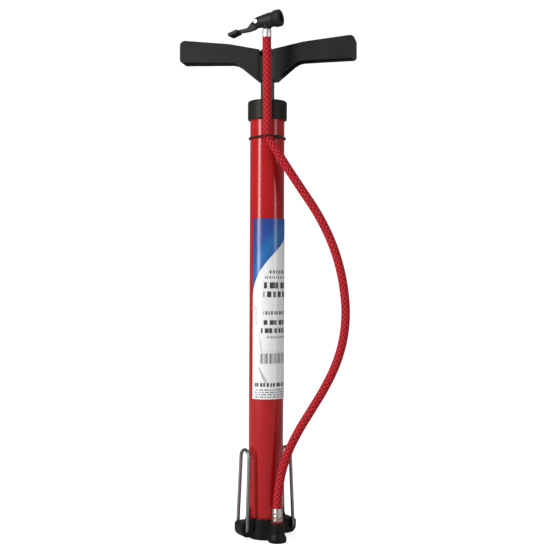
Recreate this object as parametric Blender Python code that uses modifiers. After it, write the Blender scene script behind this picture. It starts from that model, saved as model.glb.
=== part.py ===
"""Stand pump for inflating balls and tyres, standing on its base with the handle pushed down.

The frame: +Z is up along the barrel, the handle lies along X, and the hose is held in front, towards -Y.
The origin is on the barrel's axis, on the surface that the base stands on.
"""

import math

import bmesh
import bpy
from mathutils import Matrix, Vector

MM = 0.001
GAP = 0.3 * MM  # between pieces that touch
ROUND = 48  # sides of the large turned pieces
SMALL_ROUND = 20  # sides of the small turned pieces
MERGE = 0.00001

# The three directions that the pump's parts face.
BASE_YAW = math.radians(39)  # the base and the label, turned from the handle, which swivels on the barrel
HOSE_YAW = math.radians(10)  # the plane that the stored hose lies in
CHUCK_YAW = math.radians(-12)
CHUCK_PITCH = math.radians(7)

# Barrel and cap.
BARREL_RADIUS = 17.5 * MM
BARREL_WALL = 0.8 * MM
BARREL_FOOT = 9.9 * MM
BARREL_TOP = 440 * MM
BARREL_BORE = BARREL_RADIUS - BARREL_WALL
CAP_RADIUS = 20 * MM
CAP_FOOT = 424.5 * MM
CAP_TOP = 444 * MM
VENT_REACH = 13.5 * MM
LABEL_FOOT = 142 * MM
LABEL_TOP = 324 * MM
LABEL_THICKNESS = 0.25 * MM
LABEL_HALF_ANGLE = math.radians(78)

# Rod, piston and handle.
ROD_RADIUS = 7 * MM
ROD_BORE = 5.8 * MM
THREAD_RADIUS = 4 * MM
ROD_FOOT = 12 * MM
ROD_TOP = 498 * MM
LOWER_SHOULDER = 27 * MM
UPPER_SHOULDER = 486 * MM
PISTON_RADIUS = BARREL_BORE - GAP
HANDLE_HALF_LENGTH = 90.4 * MM
HANDLE_HALF_DEPTH = 10 * MM
HANDLE_ROUNDING = 2.2 * MM
HANDLE_MIDDLE_TOP = 495.8 * MM
HANDLE_END_TOP = 508 * MM
HANDLE_END_FOOT = 484.6 * MM
HANDLE_HUB_FOOT = 464.8 * MM
HANDLE_WALL = 2.6 * MM
CHANNEL_HALF_WIDTH = 7.2 * MM
CHANNEL_DEPTH = 1.4 * MM
NUT_SEAT = 489.5 * MM
POCKET_BACK = 7.9 * MM

# Base.
CUP_RADIUS = 20 * MM
CUP_TOP = 22 * MM
CUP_FLOOR = 8 * MM
CUP_BORE = BARREL_RADIUS + GAP
LUG_HALF_WIDTH = 8 * MM
LUG_REACH = 31.5 * MM
LUG_HALF_HEIGHT = 7.8 * MM
LUG_MIDDLE = 11 * MM
LUG_FOOT_ROUNDING = 7.6 * MM
LUG_TOP_ROUNDING = 3.6 * MM
PIVOT_REACH = 26.4 * MM
PIVOT_HEIGHT = 10 * MM
OUTLET_REACH = 25 * MM
BOSS_TOP = 19 * MM
BOSS_RADIUS = 7.6 * MM
VALVE_BORE = 3.6 * MM
VALVE_SEAT = 7 * MM
WASHER_SEAT = 18.8 * MM
WASHER_RADIUS = 6.3 * MM
PASSAGE_HEIGHT = 4.5 * MM

# Foot stirrups, bent from round wire.
WIRE_RADIUS = 1.75 * MM
LEG_SPACING_FOOT = 21 * MM
LEG_SPACING_TOP = 17.5 * MM
STIRRUP_TOP = 92 * MM
STIRRUP_TOP_REACH = 23.4 * MM
WIRE_BEND = 3 * MM

# Hose. The route is (across, outward, height) in millimetres, in the plane that HOSE_YAW turns.
HOSE_RADIUS = 4.4 * MM
HOSE_STEP = 12 * MM
FERRULE_RADIUS = 5.5 * MM
FERRULE_BORE = HOSE_RADIUS + GAP
UPPER_RADIUS = 4.5 * MM
UPPER_BORE = 3.75 * MM
LOWER_FERRULE = (25 * MM, 34.2 * MM)
UPPER_FERRULE = (502.8 * MM, 511.4 * MM)
TIE_POINT = 20  # the route's point that the strap holds
TIE_THICKNESS = 1.0 * MM
TIE_HALF_WIDTH = 0.9 * MM
HOSE_ROUTE = [
    (12.1, 21.9, 30.0),
    (12.1, 21.9, 39.0),
    (13.5, 22.0, 53.0),
    (17.0, 22.0, 72.0),
    (23.6, 22.0, 92.0),
    (33.5, 22.6, 112.0),
    (45.5, 23.2, 132.0),
    (57.4, 23.8, 152.0),
    (67.4, 24.4, 172.0),
    (74.4, 24.8, 192.0),
    (78.3, 25.0, 212.0),
    (79.3, 25.0, 232.0),
    (77.6, 25.0, 252.0),
    (73.9, 24.8, 272.0),
    (68.0, 24.4, 292.0),
    (59.6, 23.8, 312.0),
    (48.7, 23.2, 332.0),
    (35.4, 22.7, 352.0),
    (21.5, 22.4, 373.0),
    (8.8, 22.3, 393.0),
    (1.6, 22.3, 406.0),
    (0.4, 25.0, 423.0),
    (0.3, 25.6, 444.0),
    (0.3, 28.0, 466.0),
    (0.1, 30.6, 484.0),
    (-0.4, 32.0, 496.0),
    (-0.4, 32.0, 502.0),
]
HOSE_NECK = [(502.6, 0.78), (507.5, 0.78)]  # crimped in the upper ferrule: (height, share of the radius)

# Chuck, in its own frame: +X runs to the mouth, the lever's pin lies along Y.
CHUCK_HEIGHT = 519.3 * MM
CHUCK_OUT = 32 * MM
CHUCK_ACROSS = -0.4 * MM
CHUCK_RADIUS = 7.4 * MM
CHUCK_BACK_RADIUS = 5.9 * MM
CHUCK_BACK = -14.4 * MM
NIPPLE_FOOT = 508.2 * MM  # the height that the stem's nipple reaches down to, in the hose
CHUCK_BORE = 4.6 * MM
SPIGOT_RADIUS = 6.2 * MM
SPIGOT_FRONT = 10.6 * MM
CHUCK_SHOULDER = 7.8 * MM
COLLAR_RADIUS = 8.4 * MM
COLLAR_FRONT = 15.6 * MM
MOUTH_RADIUS = 4.5 * MM
PIN_PLACE = -9.6 * MM
PIN_RADIUS = 1.4 * MM
PIN_HEAD_RADIUS = 2.5 * MM
SLOT_HALF_WIDTH = 2.7 * MM
CAM_RADIUS = 4 * MM
CAM_OFFSET = 1.2 * MM


def clear_scene():
    for thing in list(bpy.data.objects):
        bpy.data.objects.remove(thing)
    for name in ("ball_pump", "cutters"):
        made = bpy.data.collections.new(name)
        bpy.context.scene.collection.children.link(made)
    return bpy.data.collections["ball_pump"], bpy.data.collections["cutters"]


PUMP, CUTTERS = clear_scene()


def material(name, colour, roughness, metallic=0.0):
    """A Principled material, made once for each name."""
    made = bpy.data.materials.get(name)
    if made is None:
        made = bpy.data.materials.new(name)
        made.use_nodes = True
        shader = made.node_tree.nodes["Principled BSDF"]
        shader.inputs["Base Color"].default_value = (*colour, 1)
        shader.inputs["Roughness"].default_value = roughness
        shader.inputs["Metallic"].default_value = metallic
    return made


def black_plastic():
    return material("black_plastic", (0.022, 0.022, 0.020), 0.45)


def red_paint():
    return material("red_paint", (0.40, 0.012, 0.016), 0.18)


def steel():
    return material("bright_steel", (0.62, 0.60, 0.58), 0.22, 1.0)


def grey_steel():
    return material("grey_steel", (0.30, 0.28, 0.27), 0.3, 1.0)


def brass():
    return material("brass", (0.70, 0.46, 0.26), 0.3, 1.0)


def black_rubber():
    return material("black_rubber", (0.03, 0.03, 0.03), 0.7)


def red_fibre():
    return material("red_fibre", (0.38, 0.05, 0.05), 0.7)


def label_paper():
    return material("label_paper", (0.72, 0.72, 0.74), 0.4)


def white_nylon():
    return material("white_nylon", (0.75, 0.74, 0.70), 0.5)


def braid():
    return material("hose_braid", (0.45, 0.03, 0.035), 0.75)


def keep(thing, finish, parent=None):
    """Puts an object in the pump's collection with its material, and hangs it from an empty."""
    for home in list(thing.users_collection):
        home.objects.unlink(thing)
    PUMP.objects.link(thing)
    thing.data.materials.clear()
    thing.data.materials.append(finish)
    if thing.type == "MESH":
        thing.data.shade_smooth()
        thing.data.set_sharp_from_angle(angle=math.radians(30))
    if parent is not None:
        thing.parent = parent
    return thing


def as_cutter(thing, parent=None):
    """Makes an object a helper that is never drawn or built."""
    for home in list(thing.users_collection):
        home.objects.unlink(thing)
    CUTTERS.objects.link(thing)
    thing.hide_render = True
    thing.display_type = "WIRE"
    if parent is not None:
        thing.parent = parent
    return thing


def frame(name, place, turn=(0, 0, 0), parent=None):
    """An empty that carries the pieces of one group."""
    made = bpy.data.objects.new(name, None)
    made.location = place
    made.rotation_euler = turn
    made.parent = parent
    PUMP.objects.link(made)
    return made


def from_bmesh(name, shape):
    mesh = bpy.data.meshes.new(name)
    shape.to_mesh(mesh)
    shape.free()
    made = bpy.data.objects.new(name, mesh)
    PUMP.objects.link(made)
    return made


def box(name, low, high):
    """A box between two corners."""
    shape = bmesh.new()
    bmesh.ops.create_cube(shape, size=1)
    size = Vector(high) - Vector(low)
    bmesh.ops.scale(shape, vec=size, verts=shape.verts)
    bmesh.ops.translate(shape, vec=(Vector(low) + Vector(high)) / 2, verts=shape.verts)
    return from_bmesh(name, shape)


def rod_between(name, start, end, radius, sides=SMALL_ROUND, end_radius=None):
    """A cylinder or cone from one point to another."""
    start, end = Vector(start), Vector(end)
    shape = bmesh.new()
    bmesh.ops.create_cone(
        shape,
        cap_ends=True,
        segments=sides,
        radius1=radius,
        radius2=radius if end_radius is None else end_radius,
        depth=(end - start).length,
    )
    turn = (end - start).to_track_quat("Z", "Y").to_matrix().to_4x4()
    bmesh.ops.transform(shape, matrix=Matrix.Translation((start + end) / 2) @ turn, verts=shape.verts)
    return from_bmesh(name, shape)


def turned(name, profile, sides=ROUND, closed=False):
    """A turned piece about Z from its (radius, height) profile, which runs down the outer side."""
    mesh = bpy.data.meshes.new(name)
    edges = [(i, i + 1) for i in range(len(profile) - 1)]
    if closed:
        edges.append((len(profile) - 1, 0))
    mesh.from_pydata([(r, 0, z) for r, z in profile], edges, [])
    made = bpy.data.objects.new(name, mesh)
    PUMP.objects.link(made)
    spin = made.modifiers.new("turn", "SCREW")
    spin.steps = sides
    spin.render_steps = sides
    spin.use_merge_vertices = True
    spin.merge_threshold = MERGE
    spin.use_smooth_shade = False
    return made


def ring(name, inner, outer, foot, top, sides=ROUND):
    """A plain ring of rectangular section."""
    return turned(name, [(outer, top), (outer, foot), (inner, foot), (inner, top)], sides, closed=True)


def rounded(corners):
    """The points of a closed outline whose corners, given as (x, z, radius), are arcs."""
    points = []
    count = len(corners)
    for i, (x, z, radius) in enumerate(corners):
        here = Vector((x, z))
        before = Vector(corners[i - 1][:2]) - here
        after = Vector(corners[(i + 1) % count][:2]) - here
        if radius == 0:
            points.append(here)
            continue
        half = before.angle(after) / 2
        back = radius / math.tan(half)
        centre = here + (before.normalized() + after.normalized()).normalized() * (radius / math.sin(half))
        start = here + before.normalized() * back - centre
        sweep = start.angle_signed(here + after.normalized() * back - centre)
        steps = max(2, math.ceil(abs(sweep) / math.radians(24)))
        for step in range(steps + 1):
            angle = -sweep * step / steps
            spot = Matrix.Rotation(angle, 2) @ start
            points.append(centre + spot)
    return points


def plate(name, outlines, half_thickness):
    """A flat piece in the XZ plane, as thick along Y as asked. Later outlines are holes in the first."""
    curve = bpy.data.curves.new(name, "CURVE")
    curve.dimensions = "2D"
    curve.fill_mode = "BOTH"
    curve.extrude = half_thickness
    for outline in outlines:
        spline = curve.splines.new("POLY")
        spline.points.add(len(outline) - 1)
        for point, (x, z) in zip(spline.points, outline):
            point.co = (x, z, 0, 1)
        spline.use_cyclic_u = True
    helper = bpy.data.objects.new(name + "_outline", curve)
    PUMP.objects.link(helper)
    helper.rotation_euler = (math.pi / 2, 0, 0)
    return solid_from_curve(helper, name)


def solid_from_curve(helper, name):
    """Turns a curve object into a closed mesh in the same place."""
    bpy.context.view_layer.update()
    graph = bpy.context.evaluated_depsgraph_get()
    mesh = bpy.data.meshes.new_from_object(helper.evaluated_get(graph))
    mesh.transform(helper.matrix_world)
    shape = bmesh.new()
    shape.from_mesh(mesh)
    bmesh.ops.remove_doubles(shape, verts=shape.verts, dist=MERGE)
    bmesh.ops.recalc_face_normals(shape, faces=shape.faces)
    bpy.data.objects.remove(helper)
    return from_bmesh(name, shape)


def smooth_path(points, step):
    """Evenly spaced points along a smooth curve through the given ones."""
    path = [Vector(p) for p in points]
    path = [path[0] * 2 - path[1]] + path + [path[-1] * 2 - path[-2]]
    fine = []
    for a, b, c, d in zip(path, path[1:], path[2:], path[3:]):
        for k in range(16):
            t = k / 16
            fine.append(
                0.5
                * (2 * b + (c - a) * t + (2 * a - 5 * b + 4 * c - d) * t * t + (3 * b - a - 3 * c + d) * t**3)
            )
    fine.append(path[-2])
    along = [0.0]
    for p, q in zip(fine, fine[1:]):
        along.append(along[-1] + (q - p).length)
    count = max(2, round(along[-1] / step))
    spaced, i = [], 0
    for k in range(count + 1):
        target = along[-1] * k / count
        while i < len(along) - 2 and along[i + 1] < target:
            i += 1
        share = (target - along[i]) / (along[i + 1] - along[i])
        spaced.append(fine[i].lerp(fine[i + 1], share))
    return spaced


def tube(name, points, radius, resolution=2, neck=()):
    """A wire or hose of round section along a path. A neck is the share of the radius at the last points."""
    curve = bpy.data.curves.new(name, "CURVE")
    curve.dimensions = "3D"
    curve.bevel_depth = radius
    curve.bevel_resolution = resolution
    curve.use_fill_caps = True
    spline = curve.splines.new("POLY")
    spline.points.add(len(points) - 1)
    for point, place in zip(spline.points, points):
        point.co = (*place, 1)
    for point, share in zip(spline.points[len(points) - len(neck) :], neck):
        point.radius = share
    made = bpy.data.objects.new(name, curve)
    PUMP.objects.link(made)
    return made


def boolean(thing, tool, operation="DIFFERENCE"):
    step = thing.modifiers.new(operation.lower(), "BOOLEAN")
    step.operation = operation
    step.object = tool
    step.solver = "EXACT"
    return thing


def cut(thing, tool, parent=None):
    return boolean(thing, as_cutter(tool, parent))


def join(thing, tool, parent=None):
    return boolean(thing, as_cutter(tool, parent), "UNION")


def soften(thing, width, segments=2, angle=40):
    """Rounds the edges that are sharper than the angle."""
    step = thing.modifiers.new("rounding", "BEVEL")
    step.width = width
    step.segments = segments
    step.limit_method = "ANGLE"
    step.angle_limit = math.radians(angle)
    return thing


def hexagon(name, across_flats, foot, top):
    """A six-sided nut blank about Z."""
    corner = across_flats / math.sqrt(3)
    return rod_between(name, (0, 0, foot), (0, 0, top), corner, sides=6)


# The empties: the base's own frame, the stored hose's frame and the chuck's frame.
BASE_FRAME = frame("base_frame", (0, 0, 0), (0, 0, BASE_YAW))
HOSE_FRAME = frame("hose_frame", (0, 0, 0), (0, 0, HOSE_YAW))
CHUCK_PLACE = Matrix.Rotation(HOSE_YAW, 4, "Z") @ Vector((CHUCK_ACROSS, -CHUCK_OUT, CHUCK_HEIGHT))
CHUCK_FRAME = frame("chuck_frame", CHUCK_PLACE, (0, -CHUCK_PITCH, CHUCK_YAW))


def base_body():
    """The moulded base: a cup for the barrel, a lug each side for the stirrups, and the outlet boss."""
    cup = turned(
        "base_body",
        [
            (0, CUP_TOP),
            (CUP_RADIUS - 0.6 * MM, CUP_TOP),
            (CUP_RADIUS, CUP_TOP - 0.6 * MM),
            (CUP_RADIUS, 3 * MM),
            (CUP_RADIUS - 3.5 * MM, 0),
            (0, 0),
        ],
    )
    lug_root = CUP_BORE + 0.8 * MM
    lug_foot = LUG_MIDDLE - LUG_HALF_HEIGHT
    lug_top = LUG_MIDDLE + LUG_HALF_HEIGHT
    for side in (-1, 1):
        lug = rounded(
            [
                (lug_root * side, lug_foot, 0),
                (LUG_REACH * side, lug_foot, LUG_FOOT_ROUNDING),
                (LUG_REACH * side, lug_top, LUG_TOP_ROUNDING),
                (lug_root * side, lug_top, 0),
            ]
        )
        join(cup, plate("lug", [lug], LUG_HALF_WIDTH), BASE_FRAME)
        web = [
            (lug_root * side, lug_top - 2 * MM),
            (26 * MM * side, lug_top - 2 * MM),
            (22.6 * MM * side, lug_top + 2.5 * MM),
            (20.8 * MM * side, lug_top + 7.5 * MM),
            (20.2 * MM * side, 32 * MM),
            (lug_root * side, 32 * MM),
        ]
        join(cup, plate("web", [[Vector(p) for p in web]], 1.6 * MM), BASE_FRAME)
    boss = turned(
        "boss",
        [
            (0, BOSS_TOP),
            (BOSS_RADIUS - 0.5 * MM, BOSS_TOP),
            (BOSS_RADIUS, BOSS_TOP - 0.5 * MM),
            (BOSS_RADIUS, 8 * MM),
            (9.4 * MM, 4.5 * MM),
            (9.4 * MM, 1 * MM),
            (8.6 * MM, 0),
            (0, 0),
        ],
        sides=24,
    )
    boss.location = (0, -OUTLET_REACH, 0)
    join(cup, boss, BASE_FRAME)
    cut(cup, rod_between("cup_bore", (0, 0, CUP_FLOOR), (0, 0, 40 * MM), CUP_BORE, ROUND), BASE_FRAME)
    for name, foot, top, radius, sides in (
        ("valve_bore", VALVE_SEAT, 25 * MM, VALVE_BORE, SMALL_ROUND),
        ("spot_face", WASHER_SEAT, 26 * MM, WASHER_RADIUS + 0.4 * MM, 24),
        ("seat_hole", PASSAGE_HEIGHT, 8 * MM, 1.2 * MM, 12),
    ):
        hole = rod_between(name, (0, -OUTLET_REACH, foot), (0, -OUTLET_REACH, top), radius, sides)
        cut(cup, hole, BASE_FRAME)
    outer_end, inner_end = (0, -OUTLET_REACH - 1 * MM, PASSAGE_HEIGHT), (0, -5.5 * MM, PASSAGE_HEIGHT)
    cut(cup, rod_between("passage", outer_end, inner_end, 1.6 * MM, 12), BASE_FRAME)
    inlet = rod_between("inlet", (0, -7.5 * MM, 4.2 * MM), (0, -7.5 * MM, 10 * MM), 1 * MM, 12)
    cut(cup, inlet, BASE_FRAME)
    for side in (-1, 1):
        place = (PIVOT_REACH * side, 0, PIVOT_HEIGHT)
        ends = [Vector(place) + Vector((0, y, 0)) for y in (-10 * MM, 10 * MM)]
        cut(cup, rod_between("pivot_hole", *ends, WIRE_RADIUS + GAP, 12), BASE_FRAME)
    keep(cup, black_plastic(), BASE_FRAME)


def stirrup(name, side):
    """A foot stirrup: a long U of wire whose two ends turn inwards into the lug's hole."""
    half_foot, half_top = LEG_SPACING_FOOT / 2, LEG_SPACING_TOP / 2
    pivot = Vector((PIVOT_REACH * side, 0, PIVOT_HEIGHT))
    hinge = frame(name + "_hinge", pivot, parent=BASE_FRAME)
    lean = Vector((STIRRUP_TOP_REACH * side, 0, STIRRUP_TOP)) - pivot
    up = lean.normalized()
    arch = half_top - WIRE_RADIUS
    leg = lean.length - arch - WIRE_RADIUS

    def half(sign):
        points = [Vector((0, sign * 1.2 * MM, 0))]
        for step in range(5):
            angle = math.pi / 2 * step / 4
            across = half_foot - WIRE_BEND + WIRE_BEND * math.sin(angle)
            points.append(Vector((0, sign * across, 0)) + up * WIRE_BEND * (1 - math.cos(angle)))
        points.append(Vector((0, sign * (half_foot + half_top) / 2, 0)) + up * leg / 2)
        return points

    crown = []
    for step in range(11):
        angle = math.pi * step / 10
        crown.append(up * (leg + arch * math.sin(angle)) + Vector((0, -half_top * math.cos(angle), 0)))
    keep(tube(name, half(-1) + crown + half(1)[::-1], WIRE_RADIUS), steel(), hinge)


def outlet_parts():
    """The check valve in the boss, and the fitting that the hose is crimped on."""
    spot = Vector((0, -OUTLET_REACH, 0))
    ball = from_bmesh("check_ball", sphere(2.4 * MM))
    ball.location = spot + Vector((0, 0, VALVE_SEAT + 2.4 * MM + GAP))
    keep(ball, steel(), BASE_FRAME)
    turns, points_a_turn, wire = 3, 8, 0.3 * MM
    low, high = VALVE_SEAT + 5.6 * MM, 15.4 * MM
    count = turns * points_a_turn
    coil = []
    for i in range(count + 1):
        angle = 2 * math.pi * i / points_a_turn
        height = low + (high - low) * i / count
        coil.append(spot + Vector((2.2 * MM * math.cos(angle), 2.2 * MM * math.sin(angle), height)))
    keep(tube("check_spring", coil, wire, resolution=1), steel(), BASE_FRAME)
    washer = ring("outlet_washer", VALVE_BORE, WASHER_RADIUS, WASHER_SEAT + GAP, WASHER_SEAT + 1.8 * MM, 24)
    washer.location = spot
    keep(washer, red_fibre(), BASE_FRAME)
    flange_foot, flange_top = WASHER_SEAT + 2.1 * MM, LOWER_FERRULE[0] - GAP
    barb = turned(
        "hose_barb",
        [
            (2.4 * MM, 29.6 * MM),
            (2.9 * MM, 28.2 * MM),
            (2.4 * MM, 28.0 * MM),
            (2.9 * MM, 26.4 * MM),
            (2.9 * MM, flange_top),
            (5.4 * MM, flange_top),
            (5.8 * MM, flange_top - 0.4 * MM),
            (5.8 * MM, flange_foot),
            (VALVE_BORE - GAP, flange_foot),
            (VALVE_BORE - GAP, 15.8 * MM),
            (1.3 * MM, 15.8 * MM),
            (1.3 * MM, 29.6 * MM),
        ],
        sides=24,
        closed=True,
    )
    barb.location = spot
    keep(barb, brass(), BASE_FRAME)


def sphere(radius):
    shape = bmesh.new()
    bmesh.ops.create_uvsphere(shape, u_segments=12, v_segments=8, radius=radius)
    return shape


def barrel_parts():
    seal = ring("base_gasket", 13 * MM, CUP_BORE - GAP, CUP_FLOOR + GAP, BARREL_FOOT - GAP)
    keep(seal, black_rubber())
    keep(ring("barrel_tube", BARREL_BORE, BARREL_RADIUS, BARREL_FOOT, BARREL_TOP), red_paint())
    inner = BARREL_RADIUS + GAP
    outer = inner + LABEL_THICKNESS
    steps = 20
    arc = [LABEL_HALF_ANGLE * (2 * i / steps - 1) - math.pi / 2 for i in range(steps + 1)]
    outline = [Vector((outer * math.cos(a), outer * math.sin(a))) for a in arc]
    outline += [Vector((inner * math.cos(a), inner * math.sin(a))) for a in reversed(arc)]
    label = flat_ring("barrel_label", [outline], LABEL_FOOT, LABEL_TOP)
    keep(label, label_paper(), BASE_FRAME)


def flat_ring(name, outlines, foot, top):
    """A flat piece in the XY plane between two heights. Later outlines are holes in the first."""
    made = plate(name, outlines, (top - foot) / 2)
    made.data.transform(Matrix.Rotation(-math.pi / 2, 4, "X"))
    made.data.transform(Matrix.Translation((0, 0, (foot + top) / 2)))
    return made


def cap_parts():
    """The screwed cap, the bush that guides the rod, and the washer that the piston stops on."""
    hole = ROD_RADIUS + 2.4 * MM
    cap = turned(
        "top_cap",
        [
            (hole, CAP_TOP),
            (CAP_RADIUS - 1.2 * MM, CAP_TOP),
            (CAP_RADIUS - 0.3 * MM, CAP_TOP - 0.4 * MM),
            (CAP_RADIUS, CAP_TOP - 1.3 * MM),
            (CAP_RADIUS, CAP_FOOT + 0.5 * MM),
            (CAP_RADIUS - 0.5 * MM, CAP_FOOT),
            (BARREL_RADIUS + GAP, CAP_FOOT),
            (BARREL_RADIUS + GAP, BARREL_TOP + GAP),
            (hole, BARREL_TOP + GAP),
        ],
        closed=True,
    )
    cut(cap, rod_between("vent", (0, VENT_REACH, CAP_FOOT), (0, VENT_REACH, CAP_TOP + 5 * MM), 1 * MM, 10))
    keep(cap, black_plastic())
    bush = turned(
        "rod_bush",
        [
            (hole - GAP, CAP_TOP - 0.4 * MM),
            (hole - GAP, BARREL_TOP - GAP),
            (12.5 * MM, BARREL_TOP - GAP),
            (12.5 * MM, BARREL_TOP - 3 * MM),
            (ROD_RADIUS + GAP, BARREL_TOP - 3 * MM),
            (ROD_RADIUS + GAP, CAP_TOP - 0.4 * MM),
        ],
        sides=24,
        closed=True,
    )
    keep(bush, white_nylon())
    stop_top = BARREL_TOP - 3.3 * MM
    keep(ring("stop_washer", ROD_RADIUS + GAP, 13 * MM, stop_top - 3 * MM, stop_top, 24), black_rubber())


def piston_parts():
    """From the bottom: nut, washer, cup seal with its lip down, backing disc and upper washer."""
    nut = hexagon("piston_nut", 13 * MM, 13 * MM, 17.6 * MM)
    cut(nut, rod_between("piston_thread", (0, 0, 10 * MM), (0, 0, 20 * MM), THREAD_RADIUS + GAP, 16))
    keep(nut, steel())
    keep(ring("lower_washer", THREAD_RADIUS + GAP, 9.5 * MM, 17.9 * MM, 19 * MM, 24), steel())
    bore = THREAD_RADIUS + GAP
    cup = turned(
        "piston_cup",
        [
            (bore, 22 * MM),
            (PISTON_RADIUS - 1.6 * MM, 22 * MM),
            (PISTON_RADIUS - 0.5 * MM, 21.2 * MM),
            (PISTON_RADIUS, 19 * MM),
            (PISTON_RADIUS, 13.4 * MM),
            (PISTON_RADIUS - 1.6 * MM, 14.6 * MM),
            (PISTON_RADIUS - 2 * MM, 19.3 * MM),
            (bore, 19.3 * MM),
        ],
        closed=True,
    )
    keep(cup, black_rubber())
    disc = turned(
        "piston_disc",
        [
            (bore, 25.6 * MM),
            (PISTON_RADIUS - 2.2 * MM, 25.6 * MM),
            (PISTON_RADIUS - 1.4 * MM, 24.8 * MM),
            (PISTON_RADIUS - 1.4 * MM, 22.3 * MM),
            (bore, 22.3 * MM),
        ],
        closed=True,
    )
    keep(disc, white_nylon())
    keep(ring("upper_washer", THREAD_RADIUS + GAP, 9.5 * MM, 25.9 * MM, LOWER_SHOULDER - GAP, 24), steel())


def rod():
    """The steel rod: a tube with a threaded plug at each end, the lower one bored to let air out."""
    profile = [
        (0, ROD_TOP),
        (THREAD_RADIUS - 0.5 * MM, ROD_TOP),
        (THREAD_RADIUS, ROD_TOP - 0.5 * MM),
        (THREAD_RADIUS, UPPER_SHOULDER),
        (ROD_RADIUS - 0.4 * MM, UPPER_SHOULDER),
        (ROD_RADIUS, UPPER_SHOULDER - 0.4 * MM),
        (ROD_RADIUS, LOWER_SHOULDER + 0.4 * MM),
        (ROD_RADIUS - 0.4 * MM, LOWER_SHOULDER),
        (THREAD_RADIUS, LOWER_SHOULDER),
        (THREAD_RADIUS, ROD_FOOT + 0.5 * MM),
        (THREAD_RADIUS - 0.5 * MM, ROD_FOOT),
        (1 * MM, ROD_FOOT),
        (1 * MM, LOWER_SHOULDER + 8 * MM),
        (ROD_BORE, LOWER_SHOULDER + 8 * MM),
        (ROD_BORE, UPPER_SHOULDER - 8 * MM),
        (0, UPPER_SHOULDER - 8 * MM),
    ]
    keep(turned("pump_rod", profile, sides=32), grey_steel())


def handle():
    """The moulded T-handle: a hub and two wings that are open below, and its washer and nut."""
    right = [
        (6 * MM, HANDLE_MIDDLE_TOP, 26 * MM),
        (38 * MM, 502.4 * MM, 60 * MM),
        (HANDLE_HALF_LENGTH, HANDLE_END_TOP, 5 * MM),
        (HANDLE_HALF_LENGTH, HANDLE_END_FOOT, 3.4 * MM),
        (32 * MM, 483.2 * MM, 16 * MM),
        (9.6 * MM, HANDLE_HUB_FOOT, 2 * MM),
    ]
    left = [(-x, z, radius) for x, z, radius in reversed(right)]
    grip = plate("handle", [rounded(right + left)], HANDLE_HALF_DEPTH)
    soften(grip, HANDLE_ROUNDING, segments=3, angle=60)
    inner_end, roof = HANDLE_HALF_LENGTH - 3.2 * MM, HANDLE_END_TOP - 3.4 * MM
    for side in (-1, 1):
        hollow = [(inner_end, roof), (40 * MM, 499.2 * MM), (20 * MM, 492.6 * MM), (13.5 * MM, 488 * MM)]
        hollow += [(13.5 * MM, 455 * MM), (inner_end, 455 * MM)]
        outline = [Vector((x * side, z)) for x, z in hollow]
        cut(grip, plate("wing_hollow", [outline], HANDLE_HALF_DEPTH - HANDLE_WALL))
    channel_back, pocket_half_width = -HANDLE_HALF_DEPTH + CHANNEL_DEPTH, CHANNEL_HALF_WIDTH - 0.4 * MM
    channel_low = (-CHANNEL_HALF_WIDTH, -20 * MM, 440 * MM)
    cut(grip, box("hose_channel", channel_low, (CHANNEL_HALF_WIDTH, channel_back, 520 * MM)))
    pocket_low = (-pocket_half_width, -21 * MM, NUT_SEAT)
    cut(grip, box("nut_pocket", pocket_low, (pocket_half_width, POCKET_BACK, 521 * MM)))
    cut(grip, rod_between("rod_bore", (0, 0, 440 * MM), (0, 0, UPPER_SHOULDER + GAP), ROD_RADIUS + GAP, 32))
    cut(grip, rod_between("thread_hole", (0, 0, 480 * MM), (0, 0, 500 * MM), THREAD_RADIUS + GAP, 16))
    keep(grip, black_plastic())
    washer_top = NUT_SEAT + GAP + 1 * MM
    keep(ring("handle_washer", THREAD_RADIUS + GAP, 6.5 * MM, NUT_SEAT + GAP, washer_top, 24), steel())
    nut = hexagon("handle_nut", 12.8 * MM, washer_top + GAP, washer_top + GAP + 6 * MM)
    cut(nut, rod_between("nut_thread", (0, 0, 480 * MM), (0, 0, 520 * MM), THREAD_RADIUS + GAP, 16))
    keep(nut, steel())


def hose_parts():
    route = [Vector((across, -out, height)) * MM for across, out, height in HOSE_ROUTE]
    path = smooth_path(route, HOSE_STEP)
    path += [Vector((route[-1].x, route[-1].y, height * MM)) for height, _ in HOSE_NECK]
    neck = [share for _, share in HOSE_NECK]
    keep(tube("hose", path, HOSE_RADIUS, neck=neck), braid(), HOSE_FRAME)
    foot, top = LOWER_FERRULE
    crimp = ring("lower_ferrule", FERRULE_BORE, FERRULE_RADIUS, foot, top - GAP, 24)
    crimp.location = (route[0].x, route[0].y, 0)
    keep(crimp, steel(), HOSE_FRAME)
    foot, top = UPPER_FERRULE
    crimp = turned(
        "upper_ferrule",
        [
            (2.8 * MM, top - GAP),
            (UPPER_RADIUS - 1 * MM, top - GAP),
            (UPPER_RADIUS, top - 1.5 * MM),
            (UPPER_RADIUS, foot),
            (UPPER_BORE, foot),
            (UPPER_BORE, 508 * MM),
            (2.8 * MM, 508.4 * MM),
        ],
        sides=24,
        closed=True,
    )
    crimp.location = (route[-1].x, route[-1].y, 0)
    keep(crimp, steel(), HOSE_FRAME)


def tie_outline(extra):
    """The line round the barrel and the hose in front of it, that far outside both."""
    back, front = BARREL_RADIUS + extra, HOSE_RADIUS + extra + 0.8 * MM
    across, out, _ = HOSE_ROUTE[TIE_POINT]
    hose_place = Vector((across, -out)) * MM
    middle = math.atan2(hose_place.y, hose_place.x)
    spread = math.acos((back - front) / hose_place.length)
    points = []
    for centre, radius, start, end, steps in (
        (Vector((0, 0)), back, middle + spread, middle + 2 * math.pi - spread, 30),
        (hose_place, front, middle - spread, middle + spread, 10),
    ):
        for step in range(steps + 1):
            angle = start + (end - start) * step / steps
            points.append(centre + radius * Vector((math.cos(angle), math.sin(angle))))
    return points


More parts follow.
